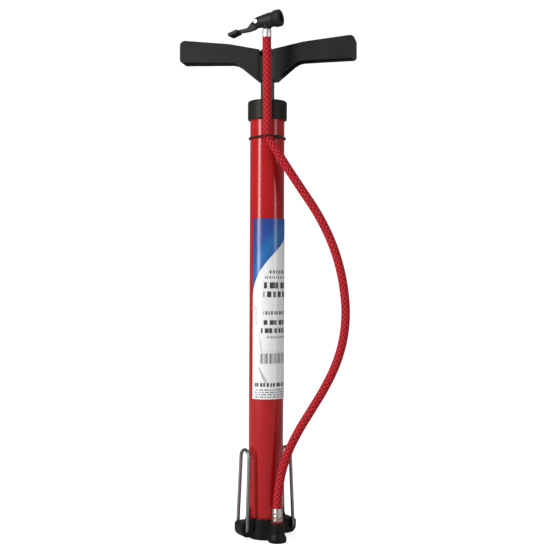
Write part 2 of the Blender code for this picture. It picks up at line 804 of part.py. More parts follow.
def hose_tie():
    """The strap that holds the hose against the barrel, with its ratchet head at the side."""
    height = HOSE_ROUTE[TIE_POINT][2] * MM
    strap = flat_ring(
        "hose_tie",
        [tie_outline(2 * GAP + TIE_THICKNESS), tie_outline(2 * GAP)],
        height - TIE_HALF_WIDTH,
        height + TIE_HALF_WIDTH,
    )
    head_low = (9.2 * MM, -22.6 * MM, height - 1.9 * MM)
    join(strap, box("tie_head", head_low, (13.6 * MM, -17.2 * MM, height + 1.9 * MM)), HOSE_FRAME)
    keep(strap, black_plastic(), HOSE_FRAME)


def along_x(name, profile, sides=24, closed=False):
    """A turned piece about X, from its (radius, distance towards the mouth) profile."""
    made = turned(name, profile, sides, closed)
    made.rotation_euler = (0, math.pi / 2, 0)
    return made


def chuck():
    """The valve chuck: body with its fork, collar, gasket, plunger, pin and thumb lever."""
    body = along_x(
        "chuck_body",
        [
            (0, SPIGOT_FRONT),
            (SPIGOT_RADIUS, SPIGOT_FRONT),
            (SPIGOT_RADIUS, CHUCK_SHOULDER),
            (CHUCK_RADIUS, CHUCK_SHOULDER),
            (CHUCK_RADIUS - 0.2 * MM, 2 * MM),
            (CHUCK_BACK_RADIUS, -9 * MM),
            (CHUCK_BACK_RADIUS - 0.7 * MM, CHUCK_BACK + 2.4 * MM),
            (CHUCK_BACK_RADIUS - 2.6 * MM, CHUCK_BACK),
            (0, CHUCK_BACK),
        ],
    )
    down = chuck_down()
    root = down * -(CHUCK_HEIGHT - UPPER_FERRULE[1] - GAP)
    join(body, rod_between("hose_stem", (0, 0, 0), -root, FERRULE_BORE, 20), CHUCK_FRAME)
    nipple_end = down * (CHUCK_HEIGHT - NIPPLE_FOOT)
    join(body, rod_between("nipple", down * 4 * MM, nipple_end, 2.4 * MM, 12), CHUCK_FRAME)
    bore = rod_between("chuck_bore", (-5 * MM, 0, 0), (20 * MM, 0, 0), CHUCK_BORE, 20)
    cut(body, bore, CHUCK_FRAME)
    slot = box("lever_slot", (-25 * MM, -SLOT_HALF_WIDTH, -12 * MM), (-4.6 * MM, SLOT_HALF_WIDTH, 12 * MM))
    cut(body, slot, CHUCK_FRAME)
    hole = rod_between("pin_hole", (PIN_PLACE, -9 * MM, 0), (PIN_PLACE, 9 * MM, 0), PIN_RADIUS + GAP, 12)
    cut(body, hole, CHUCK_FRAME)
    air = rod_between("air_hole", down * 3 * MM, nipple_end * 1.1, 1.1 * MM, 10)
    cut(body, air, CHUCK_FRAME)
    keep(body, black_plastic(), CHUCK_FRAME)
    collar = along_x(
        "chuck_collar",
        [
            (MOUTH_RADIUS, COLLAR_FRONT),
            (COLLAR_RADIUS - 1 * MM, COLLAR_FRONT),
            (COLLAR_RADIUS, COLLAR_FRONT - 1 * MM),
            (COLLAR_RADIUS, CHUCK_SHOULDER + 1 * MM),
            (COLLAR_RADIUS - 0.7 * MM, CHUCK_SHOULDER + GAP),
            (SPIGOT_RADIUS + GAP, CHUCK_SHOULDER + GAP),
            (SPIGOT_RADIUS + GAP, COLLAR_FRONT - 1.8 * MM),
            (MOUTH_RADIUS, COLLAR_FRONT - 1.8 * MM),
        ],
        closed=True,
    )
    keep(collar, black_plastic(), CHUCK_FRAME)
    gasket_front, gasket_back = COLLAR_FRONT - 2.1 * MM, SPIGOT_FRONT + GAP
    gasket = along_x(
        "chuck_gasket",
        [
            (4.1 * MM, gasket_front),
            (SPIGOT_RADIUS - GAP, gasket_front),
            (SPIGOT_RADIUS - GAP, gasket_back),
            (4.1 * MM, gasket_back),
        ],
        closed=True,
    )
    keep(gasket, black_rubber(), CHUCK_FRAME)
    plunger_front, plunger_back = 10.3 * MM, PIN_PLACE + CAM_RADIUS + 0.45 * MM
    plunger = along_x(
        "chuck_plunger",
        [
            (1.3 * MM, plunger_front),
            (CHUCK_BORE - GAP, plunger_front),
            (CHUCK_BORE - GAP, 4.5 * MM),
            (2.3 * MM, 3.6 * MM),
            (2.3 * MM, plunger_back),
            (1.3 * MM, plunger_back),
        ],
        sides=20,
        closed=True,
    )
    keep(plunger, white_nylon(), CHUCK_FRAME)
    lever()
    pin = rod_between("lever_pin", (PIN_PLACE, -6.6 * MM, 0), (PIN_PLACE, 6.6 * MM, 0), PIN_RADIUS, 12)
    for sign in (-1, 1):
        face = CHUCK_BACK_RADIUS + GAP
        head = rod_between(
            "pin_head",
            (PIN_PLACE, sign * face, 0),
            (PIN_PLACE, sign * (face + 1.2 * MM), 0),
            PIN_HEAD_RADIUS,
            16,
            end_radius=PIN_HEAD_RADIUS * 0.8,
        )
        join(pin, head, CHUCK_FRAME)
    keep(pin, steel(), CHUCK_FRAME)


def chuck_down():
    """Straight down, in the chuck's own tilted frame."""
    turn = Matrix.Rotation(CHUCK_YAW, 3, "Z") @ Matrix.Rotation(-CHUCK_PITCH, 3, "Y")
    return turn.inverted() @ Vector((0, 0, -1))


def lever():
    """The thumb lever: an eccentric cam on the pin, an arm and a curled paddle. Its empty is on the pin."""
    hinge = frame("lever_hinge", (PIN_PLACE, 0, 0), parent=CHUCK_FRAME)
    half = SLOT_HALF_WIDTH - GAP
    cam = rod_between("chuck_lever", (0, -half, -CAM_OFFSET), (0, half, -CAM_OFFSET), CAM_RADIUS, 24)
    arm = rounded(
        [
            (1.2 * MM, 1.0 * MM, 0),
            (-3.2 * MM, 2.6 * MM, 1.2 * MM),
            (-7.4 * MM, 0.6 * MM, 1.6 * MM),
            (-11.4 * MM, -3.4 * MM, 3 * MM),
            (-23.4 * MM, -3.4 * MM, 0),
            (-23.4 * MM, -6.6 * MM, 0),
            (-10.4 * MM, -7.2 * MM, 6 * MM),
            (-4.6 * MM, -6.6 * MM, 1.5 * MM),
            (0.2 * MM, -4.8 * MM, 0),
        ]
    )
    join(cam, plate("lever_arm", [arm], half - 0.2 * MM), hinge)
    paddle = rounded(
        [
            (-20.9 * MM, -3.2 * MM, 1 * MM),
            (-32.0 * MM, -5.6 * MM, 1.2 * MM),
            (-31.4 * MM, -9.0 * MM, 1.2 * MM),
            (-21.4 * MM, -6.8 * MM, 1 * MM),
        ]
    )
    join(cam, plate("lever_paddle", [paddle], 6.2 * MM), hinge)
    hole = rod_between("lever_hole", (0, -9 * MM, 0), (0, 9 * MM, 0), PIN_RADIUS + GAP, 12)
    cut(cam, hole, hinge)
    keep(cam, black_plastic(), hinge)


def main():
    base_body()
    stirrup("left_stirrup", -1)
    stirrup("right_stirrup", 1)
    outlet_parts()
    barrel_parts()
    cap_parts()
    piston_parts()
    rod()
    handle()
    hose_parts()
    hose_tie()
    chuck()


main()
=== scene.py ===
"""Looks for the stand pump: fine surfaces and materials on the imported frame, a pale floor and soft light."""

import math

import bmesh
import bpy
from mathutils import Matrix, Vector


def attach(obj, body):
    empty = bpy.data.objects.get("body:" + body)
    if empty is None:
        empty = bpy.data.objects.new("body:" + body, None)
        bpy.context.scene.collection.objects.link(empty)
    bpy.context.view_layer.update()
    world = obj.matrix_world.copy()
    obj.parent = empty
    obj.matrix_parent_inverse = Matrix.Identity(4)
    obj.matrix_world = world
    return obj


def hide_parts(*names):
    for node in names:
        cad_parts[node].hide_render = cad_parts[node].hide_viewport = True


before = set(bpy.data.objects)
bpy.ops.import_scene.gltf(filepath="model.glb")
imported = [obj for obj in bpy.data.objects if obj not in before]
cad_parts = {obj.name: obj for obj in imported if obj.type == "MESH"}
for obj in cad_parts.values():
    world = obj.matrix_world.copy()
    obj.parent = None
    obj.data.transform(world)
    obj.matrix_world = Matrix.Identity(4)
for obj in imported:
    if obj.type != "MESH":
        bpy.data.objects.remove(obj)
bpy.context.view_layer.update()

MM = 0.001
STAND = "stand"
ROD_GROUP = "rod_and_handle"
BASE_YAW = math.radians(39)
HOSE_YAW = math.radians(10)
CAMERA_YAW = math.radians(10.5)
CHUCK_YAW = math.radians(-12)
CHUCK_PITCH = math.radians(7)
CHUCK_PLACE = Matrix.Rotation(HOSE_YAW, 4, "Z") @ Vector((-0.4, -32, 519.3)) * MM
CHUCK_TURN = Matrix.Rotation(CHUCK_YAW, 4, "Z") @ Matrix.Rotation(-CHUCK_PITCH, 4, "Y")
TO_CHUCK = Matrix.Translation(CHUCK_PLACE) @ CHUCK_TURN
TO_BASE = Matrix.Rotation(BASE_YAW, 4, "Z")
TO_HOSE = Matrix.Rotation(HOSE_YAW, 4, "Z")


# ---------------------------------------------------------------- camera, light and floor


def set_camera():
    data = bpy.data.cameras.new("camera")
    data.lens = 71.3
    camera = bpy.data.objects.new("camera", data)
    bpy.context.scene.collection.objects.link(camera)
    back = Vector((math.sin(CAMERA_YAW), -math.cos(CAMERA_YAW), 0))
    right = Vector((math.cos(CAMERA_YAW), math.sin(CAMERA_YAW), 0))
    camera.location = back * 1.112 + right * 0.0085 + Vector((0, 0, 0.262))
    turn = Matrix.Rotation(CAMERA_YAW, 3, "Z") @ Matrix.Rotation(math.radians(90.26), 3, "X")
    camera.rotation_euler = (turn @ Matrix.Rotation(math.radians(0.27), 3, "Z")).to_euler()
    bpy.context.scene.camera = camera


def area_light(name, place, target, size, power):
    data = bpy.data.lights.new(name, "AREA")
    data.shape = "RECTANGLE"
    data.size, data.size_y = size
    data.energy = power
    light = bpy.data.objects.new(name, data)
    light.location = place
    light.rotation_euler = (Vector(target) - Vector(place)).to_track_quat("-Z", "Y").to_euler()
    bpy.context.scene.collection.objects.link(light)


def seen_directly(tree):
    """1 for what the camera sees with nothing between, 0 for what lights or is mirrored in the pump."""
    return Field(tree, tree.nodes.new("ShaderNodeLightPath").outputs["Is Camera Ray"])


def set_light():
    scene = bpy.context.scene
    scene.view_settings.view_transform = "Standard"
    world = bpy.data.worlds.new("studio")
    scene.world = world
    world.use_nodes = True
    sky = world.node_tree.nodes["Background"].inputs
    sky["Color"].default_value = (0.97, 0.98, 1.0, 1)
    world.node_tree.links.new((seen_directly(world.node_tree) * 0.9 + 0.22).socket, sky["Strength"])
    turn = Matrix.Rotation(CAMERA_YAW, 3, "Z")
    middle = (0, 0, 0.27)
    area_light("key_strip", turn @ Vector((-1.25, -0.95, 0.75)), middle, (0.44, 1.5), 24)
    area_light("overhead", turn @ Vector((0.1, -0.3, 1.9)), middle, (1.4, 1.4), 8)
    area_light("right_fill", turn @ Vector((1.5, -0.9, 0.5)), middle, (0.5, 1.0), 6.0)


def set_floor():
    """A pale sweep: flat under the pump, rising behind it."""
    points = [(-3.0, 0.0), (1.2, 0.0)]
    for step in range(1, 13):
        angle = math.pi / 2 * step / 12
        points.append((1.2 + 1.2 * math.sin(angle), 1.2 - 1.2 * math.cos(angle)))
    points.append((2.4, 4.0))
    shape = bmesh.new()
    rows = [[shape.verts.new((x, y, z - 0.0002)) for x in (-4, 4)] for y, z in points]
    for low, high in zip(rows, rows[1:]):
        shape.faces.new((low[0], low[1], high[1], high[0]))
    floor = object_from(shape, "floor_sweep")
    floor.data.shade_smooth()
    floor.rotation_euler.z = CAMERA_YAW
    pale = Look("pale_floor", (0.6, 0.6, 0.6), 0.8)
    pale.set("Specular IOR Level", 0.0)
    pale.set("Emission Color", (0.97, 0.98, 1.0, 1))
    pale.set("Emission Strength", seen_directly(pale.tree) * 0.82)
    floor.data.materials.append(pale.material)


# ---------------------------------------------------------------- node arithmetic and materials


class Field:
    """A number at every point of a surface. Arithmetic on it makes Math nodes."""

    def __init__(self, tree, socket):
        self.tree = tree
        self.socket = socket

    def do(self, operation, *others):
        node = self.tree.nodes.new("ShaderNodeMath")
        node.operation = operation
        for slot, value in zip(node.inputs, (self, *others)):
            if isinstance(value, Field):
                self.tree.links.new(value.socket, slot)
            else:
                slot.default_value = value
        return Field(self.tree, node.outputs[0])

    def __add__(self, other):
        return self.do("ADD", other)

    def __sub__(self, other):
        return self.do("SUBTRACT", other)

    def __rsub__(self, other):
        return self.do("MULTIPLY", -1.0).do("ADD", other)

    def __mul__(self, other):
        return self.do("MULTIPLY", other)

    def __truediv__(self, other):
        return self.do("DIVIDE", other)

    __radd__ = __add__
    __rmul__ = __mul__

    def above(self, limit, soft=0.0):
        """1 where the number is above the limit, with a soft edge that wide."""
        if not soft:
            return self.do("GREATER_THAN", limit)
        shifted = ((self - limit) / soft + 0.5).do("MAXIMUM", 0.0)
        return shifted.do("MINIMUM", 1.0)

    def between(self, low, high, soft=0.0):
        return self.above(low, soft) * (1.0 - self.above(high, soft))


class Look:
    """A Principled material and short ways to add nodes to it."""

    def __init__(self, name, colour, roughness, metallic=0.0, **inputs):
        self.material = bpy.data.materials.new(name)
        self.material.use_nodes = True
        self.tree = self.material.node_tree
        self.shader = self.tree.nodes["Principled BSDF"]
        self.set("Base Color", (*colour, 1))
        self.set("Roughness", roughness)
        self.set("Metallic", metallic)
        for key, value in inputs.items():
            self.set(key.replace("_", " "), value)

    def set(self, name, value):
        slot = self.shader.inputs[name]
        if isinstance(value, Field):
            self.tree.links.new(value.socket, slot)
        elif isinstance(value, bpy.types.NodeSocket):
            self.tree.links.new(value, slot)
        else:
            slot.default_value = value

    def place(self, kind="Object"):
        """The surface point's coordinates as three fields, in metres for Object."""
        source = self.tree.nodes.new("ShaderNodeTexCoord").outputs[kind]
        split = self.tree.nodes.new("ShaderNodeSeparateXYZ")
        self.tree.links.new(source, split.inputs[0])
        return [Field(self.tree, out) for out in split.outputs]

    def noise(self, scale, detail=2.0, stretch=(1, 1, 1)):
        """Noise between 0 and 1, with that many cells a metre."""
        source = self.tree.nodes.new("ShaderNodeTexCoord").outputs["Object"]
        warp = self.tree.nodes.new("ShaderNodeMapping")
        warp.inputs["Scale"].default_value = stretch
        self.tree.links.new(source, warp.inputs["Vector"])
        node = self.tree.nodes.new("ShaderNodeTexNoise")
        node.inputs["Scale"].default_value = scale
        node.inputs["Detail"].default_value = detail
        self.tree.links.new(warp.outputs[0], node.inputs["Vector"])
        return Field(self.tree, node.outputs["Fac"])

    def mix(self, amount, first, second):
        """A colour between two others by a field; each is three numbers or a colour socket."""
        node = self.tree.nodes.new("ShaderNodeMix")
        node.data_type = "RGBA"
        factor, a, b = node.inputs[0], node.inputs[6], node.inputs[7]
        self.tree.links.new(amount.socket, factor)
        for slot, value in ((a, first), (b, second)):
            if isinstance(value, bpy.types.NodeSocket):
                self.tree.links.new(value, slot)
            else:
                slot.default_value = (*value, 1)
        return node.outputs[2]

    def relief(self, height, depth, strength=1.0):
        """Bump of that depth in metres, from a height between 0 and 1."""
        node = self.tree.nodes.new("ShaderNodeBump")
        node.inputs["Distance"].default_value = depth
        node.inputs["Strength"].default_value = strength
        self.tree.links.new(height.socket, node.inputs["Height"])
        self.set("Normal", node.outputs[0])

    def worn_edges(self, low=0.52, high=0.6):
        """1 along sharp outer edges."""
        geometry = self.tree.nodes.new("ShaderNodeNewGeometry")
        point = Field(self.tree, geometry.outputs["Pointiness"])
        return ((point - low) / (high - low)).do("MAXIMUM", 0.0).do("MINIMUM", 1.0)


def plastic(name, colour, roughness, grain=5200.0, depth=0.00003):
    """A satin moulding: fine grain, cloudy roughness, a little pale dust and rubbed edges."""
    look = Look(name, colour, roughness)
    look.set("Specular IOR Level", 0.17)
    cloud = look.noise(55.0, 4.0)
    dust = look.noise(420.0, 3.0).above(0.63, 0.1)
    lighter = tuple(c * 1.8 + 0.003 for c in colour)
    tone = look.mix(cloud.above(0.5, 0.5) * 0.5, colour, lighter)
    rubbed = look.mix(look.worn_edges() * 0.14 + dust * 0.03, tone, (0.16, 0.16, 0.15))
    look.set("Base Color", rubbed)
    look.set("Roughness", cloud * 0.16 + (roughness - 0.08))
    look.relief(look.noise(grain, 3.0), depth)
    return look.material


def metal(name, colour, roughness, stretch=(1, 1, 1), scale=900.0, stain=0.35):
    """Plated metal: fine drawing lines, a cloudy tone and slightly dull patches."""
    look = Look(name, colour, roughness, 1.0)
    lines = look.noise(scale, 3.0, stretch)
    cloud = look.noise(70.0, 3.0)
    darker = tuple(c * (1 - stain) for c in colour)
    look.set("Base Color", look.mix(cloud.above(0.55, 0.4) * 0.7, colour, darker))
    look.set("Roughness", lines * 0.16 + cloud * 0.08 + (roughness - 0.1))
    look.relief(lines, 0.00002, 0.6)
    return look.material


def rubber(name, colour, roughness=0.65):
    look = Look(name, colour, roughness)
    look.set("Specular IOR Level", 0.2)
    cloud = look.noise(180.0, 3.0)
    look.set("Base Color", look.mix(cloud, colour, tuple(c * 1.7 + 0.004 for c in colour)))
    look.set("Roughness", cloud * 0.2 + (roughness - 0.1))
    look.relief(look.noise(2600.0, 2.0), 0.00003)
    return look.material


def enamel():
    """Red gloss enamel under a clear coat, with a faint orange peel."""
    look = Look("red_enamel", (0.36, 0.012, 0.016), 0.22)
    look.set("Coat Weight", 0.42)
    look.set("Coat Roughness", 0.07)
    look.set("Specular IOR Level", 0.2)
    cloud = look.noise(38.0, 4.0, (1, 1, 0.35))
    look.set("Base Color", look.mix(cloud.above(0.5, 0.6), (0.42, 0.007, 0.010), (0.48, 0.011, 0.012)))
    look.set("Roughness", look.noise(160.0, 3.0) * 0.1 + 0.17)
    look.relief(look.noise(230.0, 1.0), 0.00005, 0.5)
    return look.material


# The printed film: radii and heights in millimetres, and its angles round the barrel.
LABEL_INNER = 17.8
LABEL_OUTER = 18.05
LABEL_FOOT = 142
LABEL_HEIGHT = 182
LABEL_SPREAD = 156
LABEL_LEFT = math.radians(39 - 90 - LABEL_SPREAD / 2)
PRINT_END = 46.0  # millimetres round from the film's left edge, where the dashes stop


def label_print():
    """Gloss film: a blue swept field above white, a bar block and rows of plain dashes for small print."""
    look = Look("label_print", (0.75, 0.76, 0.78), 0.28)
    look.set("Coat Weight", 0.25)
    look.set("Coat Roughness", 0.12)
    x, y, z = look.place()
    across = (y.do("ARCTAN2", x) - LABEL_LEFT) * LABEL_OUTER
    height = z * 1000.0
    edge = (across / 44.0).do("MAXIMUM", 0.0).do("POWER", 0.55) * 62.0 + 245.0
    over = height - edge
    deep = (0.026, 0.036, 0.24)
    mid = (0.014, 0.10, 0.38)
    light = (0.02, 0.155, 0.45)
    white = (0.93, 0.94, 0.95)
    streak = over.between(3.0, 20.0, 14.0) * across.between(3.0, 40.0, 12.0)
    blue = look.mix(over.above(34.0, 46.0), mid, deep)
    blue = look.mix(streak, blue, light)
    grain = look.noise(60.0, 3.0)
    paper = look.mix(grain * 0.35, white, (0.85, 0.86, 0.87))
    colour = look.mix(over.above(0.0, 0.5), paper, blue)

    def dashes(bottom, top, start, pitch, fill, phase):
        """One row of uneven dashes, between two heights, from start to the print's end."""
        wave = (across * (math.tau / pitch) + phase).do("SINE")
        wave = wave + (across * (3.6 / pitch) + phase * 2.0).do("SINE") * 0.6
        row = height.between(bottom, top, 0.25) * across.above(start, 0.3)
        return row * wave.above(fill, 0.35) * (1.0 - across.above(PRINT_END, 0.3))

    def ink(colour, rows, tone):
        """The colour so far, with rows of dashes printed over it in one tone."""
        total = None
        for row in rows:
            mask = dashes(*row)
            total = mask if total is None else total.do("MAXIMUM", mask)
        return look.mix(total, colour, tone)

    colour = ink(
        colour,
        [
            (253.4, 259.6, 13.0, 6.4, -0.55, 0.3),
            (244.6, 250.4, 12.5, 6.0, -0.5, 1.4),
            (216.8, 221.6, 12.0, 5.2, -0.5, 2.2),
            (208.6, 213.4, 10.0, 5.0, -0.55, 0.9),
            (154.6, 158.4, 3.5, 3.4, -0.4, 1.0),
        ],
        (0.055, 0.055, 0.06),
    )
    colour = ink(
        colour,
        [
            (268.4, 271.8, 18.0, 3.2, -0.3, 0.1),
            (263.4, 265.6, 14.0, 2.4, -0.1, 1.9),
            (227.0, 230.6, 12.5, 3.0, -0.4, 0.7),
            (203.4, 205.4, 16.0, 2.2, -0.1, 2.6),
            (150.8, 152.0, 3.5, 2.8, -0.5, 0.2),
            (148.4, 149.6, 3.5, 2.5, -0.5, 1.2),
            (146.0, 147.2, 3.5, 3.0, -0.5, 2.0),
            (143.6, 144.8, 3.5, 2.6, -0.5, 2.9),
        ],
        (0.16, 0.16, 0.17),
    )
    block = height.between(176.0, 190.5, 0.3) * across.between(5.0, 45.0, 0.4)
    colour = look.mix(block, colour, (0.86, 0.87, 0.88))
    stripes = (across * 4.1).do("SINE") + (across * 6.7 + 0.8).do("SINE") * 0.8
    stripes = stripes + (across * 1.3).do("SINE") * 0.5
    bars = stripes.above(0.1, 0.5) * height.between(178.0, 188.0, 0.3) * across.between(9.0, 43.0, 0.3)
    colour = look.mix(bars, colour, (0.09, 0.09, 0.10))
    for lean, shift, width in ((0.155, 4.2, 0.7), (0.2, 2.2, 0.5)):
        line = across + (height - 232.0) * lean - shift
        stroke = line.between(0.0, width, 0.4) * height.between(190.0, 236.0, 3.0)
        low_line = across + (height - 176.0) * (lean * 3.0) - 6.0
        low_stroke = low_line.between(0.0, width * 2.2, 0.5) * height.between(158.0, 174.0, 3.0)
        colour = look.mix(stroke.do("MAXIMUM", low_stroke) * 0.75, colour, (0.30, 0.31, 0.33))
    look.set("Base Color", colour)
    look.set("Roughness", grain * 0.14 + 0.22)
    look.relief(look.noise(140.0, 2.0), 0.00006, 0.4)
    return look.material


STRANDS = 16
LAY = 1.75  # mm of hose for one strand's width round it


def braid_cover():
    """Red yarn braid, over one and under one, with a black yarn every third strand each way."""
    look = Look("braid_cover", (0.5, 0.03, 0.035), 0.72)
    look.set("Specular IOR Level", 0.15)
    look.set("Sheen Weight", 0.04)
    look.set("Sheen Roughness", 0.5)
    along, around, _ = look.place("UV")
    turn = around * float(STRANDS)
    lay = along * (1000.0 / LAY)
    first, second = turn + lay + 4000.0, turn - lay + 4000.0
    first_strand, second_strand = first.do("FLOOR"), second.do("FLOOR")
    over = (first_strand + second_strand).do("MODULO", 2.0).above(0.5)
    strand = over * first_strand + (1.0 - over) * second_strand
    tracer = 1.0 - strand.do("MODULO", 3.0).above(0.5)
    across = over * first.do("FRACT") + (1.0 - over) * second.do("FRACT")
    length = over * second.do("FRACT") + (1.0 - over) * first.do("FRACT")
    crown = (across * math.pi).do("SINE") * (length * math.pi).do("SINE")
    yarn = (across * (math.pi * 8)).do("SINE") * 0.5 + 0.5
    cloud = look.noise(700.0, 3.0)
    red = look.mix(cloud, (0.66, 0.014, 0.024), (0.88, 0.040, 0.052))
    # Painted shade: the red is darkened towards each yarn's edges, where its crown falls away into the creases
    # between strands.
    red = look.mix((1.0 - crown.above(0.32, 0.5)) * 0.6, red, (0.26, 0.004, 0.010))
    black = look.mix(cloud, (0.010, 0.003, 0.004), (0.035, 0.006, 0.009))
    look.set("Base Color", look.mix(tracer * crown.above(0.08, 0.12), red, black))
    look.relief(crown * 0.8 + yarn * 0.2, 0.00016, 0.8)
    return look.material


# ---------------------------------------------------------------- shapes


def object_from(shape, name):
    mesh = bpy.data.meshes.new(name)
    shape.to_mesh(mesh)
    shape.free()
    made = bpy.data.objects.new(name, mesh)
    bpy.context.scene.collection.objects.link(made)
    return made


def finish_piece(piece, body, look, nodes, sharp=35):
    """Gives a new piece its material and smoothing and its body, and hides the CAD nodes that it stands for.
    """
    piece.data.materials.clear()
    piece.data.materials.append(look)
    piece.data.shade_smooth()
    if sharp:
        piece.data.set_sharp_from_angle(angle=math.radians(sharp))
    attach(piece, body)
    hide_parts(*nodes)
    return piece


def lathe(name, profile, sides=96, closed=True, place=None):
    """A turned mesh about Z from (radius, height) in millimetres, moved by a matrix if one is given."""
    shape = bmesh.new()
    rings = []
    for radius, height in profile:
        if radius == 0:
            rings.append([shape.verts.new((0, 0, height * MM))])
            continue
        ring = []
        for side in range(sides):
            angle = 2 * math.pi * side / sides
            x, y = radius * MM * math.cos(angle), radius * MM * math.sin(angle)
            ring.append(shape.verts.new((x, y, height * MM)))
        rings.append(ring)
    pairs = list(zip(rings, rings[1:]))
    if closed:
        pairs.append((rings[-1], rings[0]))
    for upper, lower in pairs:
        for side in range(sides):
            after = (side + 1) % sides
            if len(upper) == 1:
                shape.faces.new((upper[0], lower[side], lower[after]))
            elif len(lower) == 1:
                shape.faces.new((upper[side], lower[0], upper[after]))
            else:
                shape.faces.new((upper[side], lower[side], lower[after], upper[after]))
    bmesh.ops.recalc_face_normals(shape, faces=shape.faces)
    if place is not None:
        bmesh.ops.transform(shape, matrix=place, verts=shape.verts)
    return object_from(shape, name)


def eased(corners, steps=4):
    """A closed (radius, height) profile from (radius, height, rounding) corners."""
    points = []
    count = len(corners)
    for i, (r, z, size) in enumerate(corners):
        here = Vector((r, z))
        if not size:
            points.append(tuple(here))
            continue
        before = (Vector(corners[i - 1][:2]) - here).normalized() * size
        after = (Vector(corners[(i + 1) % count][:2]) - here).normalized() * size
        for step in range(steps + 1):
            t = step / steps
            points.append(tuple(here + before * (1 - t) ** 2 + after * t**2))
    return points


def block(low, high, place=None):
    """A closed box in millimetres, for joining to a moulding before it is smoothed."""
    shape = bmesh.new()
    bmesh.ops.create_cube(shape, size=1)
    low, high = Vector(low) * MM, Vector(high) * MM
    for vertex in shape.verts:
        vertex.co = (low + high) / 2 + Vector(a * b for a, b in zip(vertex.co, high - low))
    if place is not None:
        bmesh.ops.transform(shape, matrix=place, verts=shape.verts)
    return shape


def moulded(name, node, voxel, rounds, additions=()):
    """A CAD node's solid, joined to its small details, with every edge and inner corner eased."""
    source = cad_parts[node]
    shape = bmesh.new()
    shape.from_mesh(source.data)
    for extra in additions:
        spare = bpy.data.meshes.new("spare")
        extra.to_mesh(spare)
        extra.free()
        shape.from_mesh(spare)
        bpy.data.meshes.remove(spare)
    bmesh.ops.remove_doubles(shape, verts=shape.verts, dist=0.000002)
    rough = object_from(shape, name + "_rough")
    step = rough.modifiers.new("voxels", "REMESH")
    step.mode = "VOXEL"
    step.voxel_size = voxel * MM
    ease = rough.modifiers.new("ease", "SMOOTH")
    ease.factor = 0.5
    ease.iterations = rounds
    bpy.context.view_layer.update()
    mesh = bpy.data.meshes.new_from_object(rough.evaluated_get(bpy.context.evaluated_depsgraph_get()))
    mesh.name = name
    made = bpy.data.objects.new(name, mesh)
    bpy.context.scene.collection.objects.link(made)
    bpy.data.objects.remove(rough)
    return made


def smooth_path(points, step):
    """Evenly spaced points along a smooth curve through the given ones."""
    path = [Vector(p) for p in points]
    path = [path[0] * 2 - path[1]] + path + [path[-1] * 2 - path[-2]]
    fine = []
    for a, b, c, d in zip(path, path[1:], path[2:], path[3:]):
        for k in range(32):
            t = k / 32
            fine.append(
                0.5
                * (2 * b + (c - a) * t + (2 * a - 5 * b + 4 * c - d) * t * t + (3 * b - a - 3 * c + d) * t**3)
            )
    fine.append(path[-2])
    along = [0.0]
    for p, q in zip(fine, fine[1:]):
        along.append(along[-1] + (q - p).length)
    count = max(2, round(along[-1] / step))
    spaced, i = [], 0
    for k in range(count + 1):
        target = along[-1] * k / count
        while i < len(along) - 2 and along[i + 1] < target:
            i += 1
        share = (target - along[i]) / (along[i + 1] - along[i])
        spaced.append(fine[i].lerp(fine[i + 1], share))
    return spaced


def sweep(name, path, radius_at, sides):
    """A capped tube round a path. radius_at gives the radius from (distance along, share round)."""
    shape = bmesh.new()
    uv = shape.loops.layers.uv.new("UVMap")
    count = len(path)
    tangent = (path[1] - path[0]).normalized()
    side_way = tangent.orthogonal().normalized()
    rings, along, distance = [], [], 0.0
    for i, point in enumerate(path):
        ahead = path[min(i + 1, count - 1)] - path[max(i - 1, 0)]
        turn = tangent.rotation_difference(ahead.normalized())
        tangent = ahead.normalized()
        side_way = (turn @ side_way).normalized()
        other = tangent.cross(side_way)
        if i:
            distance += (point - path[i - 1]).length
        ring = []
        for k in range(sides):
            angle = 2 * math.pi * k / sides
            reach = radius_at(distance, k / sides)
            outward = side_way * math.cos(angle) + other * math.sin(angle)
            ring.append(shape.verts.new(point + outward * reach))
        rings.append(ring)
        along.append(distance)
    for i in range(count - 1):
        for k in range(sides):
            after = (k + 1) % sides
            face = shape.faces.new((rings[i][k], rings[i][after], rings[i + 1][after], rings[i + 1][k]))
            places = ((i, k), (i, k + 1), (i + 1, k + 1), (i + 1, k))
            for loop, (row, column) in zip(face.loops, places):
                loop[uv].uv = (along[row], column / sides)
    shape.faces.new(list(reversed(rings[0])))
    shape.faces.new(rings[-1])
    bmesh.ops.recalc_face_normals(shape, faces=shape.faces)
    return object_from(shape, name)


# ---------------------------------------------------------------- the hose

# Across, out from the barrel and up, in millimetres, before the turn of HOSE_YAW.
HOSE_ROUTE = [
    (12.1, 21.9, 30.0),
    (12.1, 21.9, 39.0),
    (13.5, 22.0, 53.0),
    (17.0, 22.0, 72.0),
    (23.6, 22.0, 92.0),
    (33.5, 22.6, 112.0),
    (45.5, 23.2, 132.0),
    (57.4, 23.8, 152.0),
    (67.4, 24.4, 172.0),
    (74.4, 24.8, 192.0),
    (78.3, 25.0, 212.0),
    (79.3, 25.0, 232.0),
    (77.6, 25.0, 252.0),
    (73.9, 24.8, 272.0),
    (68.0, 24.4, 292.0),
    (59.6, 23.8, 312.0),
    (48.7, 23.2, 332.0),
    (35.4, 22.7, 352.0),
    (21.5, 22.4, 373.0),
    (8.8, 22.3, 393.0),
    (1.6, 22.3, 406.0),
    (0.4, 25.0, 423.0),
    (0.3, 25.6, 444.0),
    (0.3, 28.0, 466.0),
    (0.1, 30.6, 484.0),
    (-0.4, 32.0, 496.0),
    (-0.4, 32.0, 507.2),
]
HOSE_DIAMETER = 8.8 * MM
NECK_START = 0.5078  # along the hose, just inside the upper ferrule


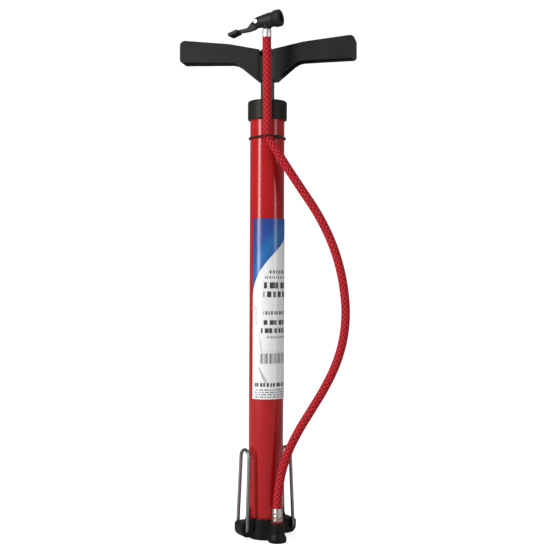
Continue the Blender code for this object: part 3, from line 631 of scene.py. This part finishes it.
def braid_height(distance, share):
    """How far the braid's surface is from the hose's centre, at that distance and share round it."""
    turn, lay = share * STRANDS, distance * 1000 / LAY
    first, second = turn + lay + 4000, turn - lay + 4000
    bump = math.sin(math.pi * (first % 1)) * math.sin(math.pi * (second % 1))
    surface = HOSE_DIAMETER / 2 - 0.16 * MM + 0.2 * MM * abs(bump) ** 0.7
    crimp = min(1.0, max(0.0, (distance - NECK_START) / (0.8 * MM)))
    return surface * (1 - 0.22 * crimp)


def make_hose():
    """The braided hose, and every eighth point of its route."""
    route = [TO_HOSE @ (Vector((across, -out, height)) * MM) for across, out, height in HOSE_ROUTE]
    path = smooth_path(route, 0.55 * MM)
    hose = sweep("braided_hose", path, braid_height, 64)
    finish_piece(hose, STAND, braid_cover(), ["hose"], sharp=0)
    return hose, path[::8] + [path[-1]]


# ---------------------------------------------------------------- main


def carry_finishes(dark_rubber, nylon, bright):
    """Materials for the CAD nodes whose own shape is right."""
    carried = {
        "base_gasket": dark_rubber,
        "stop_washer": dark_rubber,
        "piston_cup": dark_rubber,
        "chuck_gasket": dark_rubber,
        "rod_bush": nylon,
        "piston_disc": nylon,
        "chuck_plunger": nylon,
        "piston_nut": bright,
        "lower_washer": bright,
        "upper_washer": bright,
        "handle_washer": bright,
        "handle_nut": bright,
        "check_ball": bright,
        "check_spring": bright,
        "lever_pin": bright,
    }
    for node, look in carried.items():
        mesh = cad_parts[node].data
        mesh.materials.clear()
        mesh.materials.append(look)
        mesh.shade_smooth()
        mesh.set_sharp_from_angle(angle=math.radians(35))


def make_barrel():
    """The gloss tube with eased ends."""
    tube = eased([(17.5, 440, 0.3), (17.5, 9.9, 0.3), (16.7, 9.9, 0.2), (16.7, 440, 0.2)])
    finish_piece(lathe("barrel", tube, 128), STAND, enamel(), ["barrel_tube"])


def make_cap(look):
    cap = eased(
        [
            (9.4, 444, 0.2),
            (18.6, 444, 0.5),
            (20, 442.7, 0.8),
            (20, 425.3, 0.5),
            (19.4, 424.5, 0.3),
            (17.8, 424.5, 0.2),
            (17.8, 440.3, 0),
            (9.4, 440.3, 0),
        ]
    )
    finish_piece(lathe("cap", cap, 128), STAND, look, ["top_cap"])


def make_rod(look):
    rod = eased(
        [
            (0, 498, 0),
            (4, 498, 0.5),
            (4, 486, 0),
            (7, 486, 0.4),
            (7, 27, 0.4),
            (4, 27, 0),
            (4, 12, 0.5),
            (1, 12, 0),
            (1, 35, 0),
            (5.8, 35, 0),
            (5.8, 478, 0),
            (0, 478, 0),
        ]
    )
    finish_piece(lathe("rod", rod, 96, closed=False), ROD_GROUP, look, ["pump_rod"])


def make_handle(look):
    """The grip, with ribs that stiffen its hollow wings."""
    ribs = []
    for side in (-1, 1):
        for place, roof in ((34, 497.5), (52, 500), (70, 502.2)):
            low_x, high_x = sorted((side * (place - 0.7), side * (place + 0.7)))
            ribs.append(block((low_x, -7.8, 489), (high_x, 7.8, roof)))
    grip = moulded("grip", "handle", 0.6, 5, ribs)
    finish_piece(grip, ROD_GROUP, look, ["handle"], sharp=0)


def make_upper_ferrule(look):
    """The ferrule and nipple between the hose and the chuck."""
    upper = eased(
        [
            (3.5, 511.1, 0.4),
            (4.5, 510.2, 0.7),
            (4.5, 508.4, 0.2),
            (4.3, 507.9, 0.15),
            (4.5, 507.4, 0.2),
            (4.5, 502.8, 0.3),
            (3.75, 502.8, 0.1),
            (3.75, 508, 0),
            (2.8, 508.4, 0),
            (2.8, 511.1, 0.1),
        ]
    )
    place = Matrix.Translation(TO_HOSE @ Vector((-0.4 * MM, -32 * MM, 0)))
    ferrule = lathe("upper_crimp", upper, 64, place=place)
    return finish_piece(ferrule, STAND, look, ["upper_ferrule"])


def main():
    set_camera()
    set_light()
    set_floor()

    black = plastic("handle_plastic", (0.0150, 0.0150, 0.0130), 0.46)
    base_black = plastic("base_plastic", (0.0050, 0.0050, 0.0040), 0.42)
    cap_black = plastic("cap_plastic", (0.0120, 0.0112, 0.0078), 0.44)
    chuck_black = plastic("chuck_plastic", (0.0125, 0.0120, 0.0100), 0.42)
    bright = metal("bright_plate", (0.31, 0.30, 0.29), 0.27)
    crimped = metal("crimped_steel", (0.70, 0.68, 0.65), 0.30, scale=700.0)
    frosted = metal("frosted_steel", (0.97, 0.95, 0.96), 0.44, scale=700.0, stain=0.1)
    grey = metal("rod_plate", (0.20, 0.185, 0.17), 0.34, (1, 1, 0.04), 1500.0)
    yellow = metal("turned_brass", (0.56, 0.37, 0.31), 0.32)
    nylon = plastic("nylon", (0.72, 0.71, 0.67), 0.5)
    dark_rubber = rubber("dark_rubber", (0.010, 0.010, 0.009))
    red_rubber = rubber("red_fibre", (0.15, 0.008, 0.022))

    carry_finishes(dark_rubber, nylon, bright)
    hose, hose_path = make_hose()
    make_barrel()
    make_label()
    make_cap(cap_black)
    make_rod(grey)
    make_handle(black)
    base = moulded("base_moulding", "base_body", 0.45, 5)
    finish_piece(base, STAND, base_black, ["base_body"], sharp=0)
    make_stirrups(bright)
    make_outlet(yellow, red_rubber, crimped)
    strap = moulded("strap", "hose_tie", 0.3, 2)
    finish_piece(strap, STAND, dark_rubber, ["hose_tie"], sharp=0)

    on_hose = make_chuck(chuck_black)
    for node in ("chuck_gasket", "chuck_plunger", "lever_pin"):
        on_hose.append(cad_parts[node])
    on_hose.append(make_upper_ferrule(frosted))


def make_label():
    """The printed film: a thin closed sheet curved round the barrel."""
    shape = bmesh.new()
    steps, rows = 72, 24
    grid = []
    for radius in (LABEL_INNER * MM, LABEL_OUTER * MM):
        layer = []
        for row in range(rows + 1):
            height = (LABEL_FOOT + LABEL_HEIGHT * row / rows) * MM
            line = []
            for step in range(steps + 1):
                angle = LABEL_LEFT + math.radians(LABEL_SPREAD) * step / steps
                line.append(shape.verts.new((radius * math.cos(angle), radius * math.sin(angle), height)))
            layer.append(line)
        grid.append(layer)
    for row in range(rows):
        for step in range(steps):
            for layer in grid:
                a, b = layer[row][step], layer[row][step + 1]
                c, d = layer[row + 1][step + 1], layer[row + 1][step]
                shape.faces.new((a, b, c, d))
    for row in range(rows):
        for step in (0, steps):
            edge = (grid[0][row][step], grid[1][row][step])
            shape.faces.new((*edge, grid[1][row + 1][step], grid[0][row + 1][step]))
    for step in range(steps):
        for row in (0, rows):
            edge = (grid[0][row][step], grid[1][row][step])
            shape.faces.new((*edge, grid[1][row][step + 1], grid[0][row][step + 1]))
    bmesh.ops.recalc_face_normals(shape, faces=shape.faces)
    film = object_from(shape, "label_film")
    finish_piece(film, STAND, label_print(), ["barrel_label"])


# The foot stirrups, in millimetres.
WIRE_RADIUS = 1.75
HALF_FOOT = 10.5
HALF_TOP = 8.75
ARCH = 7
FOOT_BEND = 3


def make_stirrups(look):
    """The two foot stirrups, bent from round wire."""
    for name, side in (("left_stirrup", -1), ("right_stirrup", 1)):
        pivot = Vector((26.4 * side, 0, 10))
        lean = Vector((23.4 * side, 0, 92)) - pivot
        up = lean.normalized()
        leg = lean.length - ARCH - WIRE_RADIUS
        points = []

        def add(across, rise):
            points.append(TO_BASE @ ((pivot + Vector((0, across, 0)) + up * rise) * MM))

        for sign in (-1, 1):
            half = [(sign * 1.2, 0), (sign * 4.5, 0)]
            for step in range(9):
                angle = math.pi / 2 * step / 8
                bend = HALF_FOOT - FOOT_BEND + FOOT_BEND * math.sin(angle)
                half.append((sign * bend, FOOT_BEND * (1 - math.cos(angle))))
            for share in (0.3, 0.55, 0.8):
                half.append((sign * (HALF_FOOT - (HALF_FOOT - HALF_TOP) * share), leg * share))
            if sign > 0:
                for step in range(25):
                    angle = math.pi * step / 24
                    add(-HALF_TOP * math.cos(angle), leg + ARCH * math.sin(angle))
                half.reverse()
            for across, rise in half:
                add(across, rise)
        wire = sweep(name + "_wire", points, lambda distance, share: WIRE_RADIUS * MM, 24)
        finish_piece(wire, name, look, [name])


def make_outlet(yellow, red_rubber, crimped):
    """At the boss: the red washer, the brass fitting and the crimped ferrule."""
    spot = TO_BASE @ Vector((0, -25 * MM, 0))
    place = Matrix.Translation(spot)
    washer = eased([(6.3, 20.6, 0.4), (6.3, 19.1, 0.4), (3.6, 19.1, 0), (3.6, 20.6, 0)])
    finish_piece(lathe("red_washer", washer, 64, place=place), STAND, red_rubber, ["outlet_washer"])
    fitting = eased(
        [
            (2.4, 29.6, 0),
            (2.9, 28.2, 0),
            (2.4, 28.0, 0),
            (2.9, 26.4, 0),
            (2.9, 24.7, 0),
            (5.4, 24.7, 0.2),
            (5.8, 24.2, 0.2),
            (5.8, 23.2, 0.15),
            (5.45, 22.8, 0.15),
            (5.8, 22.4, 0.15),
            (5.8, 20.9, 0.3),
            (3.3, 20.9, 0),
            (3.3, 15.8, 0.2),
            (1.3, 15.8, 0),
            (1.3, 29.6, 0),
        ]
    )
    finish_piece(lathe("brass_fitting", fitting, 64, place=place), STAND, yellow, ["hose_barb"])
    crimp = eased(
        [
            (5.2, 33.9, 0.4),
            (5.5, 32.6, 0.2),
            (5.1, 31.9, 0.2),
            (5.1, 31.3, 0.2),
            (5.5, 30.6, 0.2),
            (5.5, 28.6, 0.2),
            (5.15, 28.0, 0.2),
            (5.15, 27.4, 0.2),
            (5.5, 26.8, 0.2),
            (5.4, 25.0, 0.4),
            (4.7, 25.0, 0.1),
            (4.7, 33.9, 0.1),
        ]
    )
    place = Matrix.Translation(TO_HOSE @ Vector((12.1 * MM, -21.9 * MM, 0)))
    finish_piece(lathe("lower_crimp", crimp, 64, place=place), STAND, crimped, ["lower_ferrule"])


def make_chuck(look):
    """The chuck's body, its fluted collar and the lever with its ridged pad. Returns the pieces."""
    body = moulded("chuck_moulding", "chuck_body", 0.28, 4)
    finish_piece(body, STAND, look, ["chuck_body"], sharp=0)
    along = TO_CHUCK @ Matrix.Rotation(math.pi / 2, 4, "Y")
    collar = eased(
        [
            (4.5, 15.6, 0.4),
            (7.4, 15.6, 0.6),
            (8.4, 14.5, 0.6),
            (8.4, 8.8, 0.5),
            (7.7, 8.1, 0.2),
            (6.5, 8.1, 0),
            (6.5, 13.8, 0),
            (4.5, 13.8, 0.2),
        ]
    )
    collar_piece = lathe("collar", collar, 96, place=along)
    flutes, flute_depth = 24, 0.28 * MM
    for vertex in collar_piece.data.vertices:
        local = along.inverted() @ vertex.co
        reach = math.hypot(local.x, local.y)
        if reach > 8.1 * MM and 9.1 * MM < local.z < 14.2 * MM:
            angle = math.atan2(local.y, local.x)
            dip = flute_depth * (0.5 + 0.5 * math.cos(flutes * angle))
            local.x *= (reach - dip) / reach
            local.y *= (reach - dip) / reach
            vertex.co = along @ local
    finish_piece(collar_piece, STAND, look, ["chuck_collar"])
    ridges = []
    for k in range(5):
        x = -40.2 + k * 1.9
        ridges.append(block((x - 0.35, -5.2, -6.9 - 0.07 * k), (x + 0.35, 5.2, -4.6 + 0.22 * k), TO_CHUCK))
    lever = moulded("thumb_lever", "chuck_lever", 0.28, 4, ridges)
    finish_piece(lever, "chuck_lever", look, ["chuck_lever"], sharp=0)
    return [body, collar_piece, lever]


main()
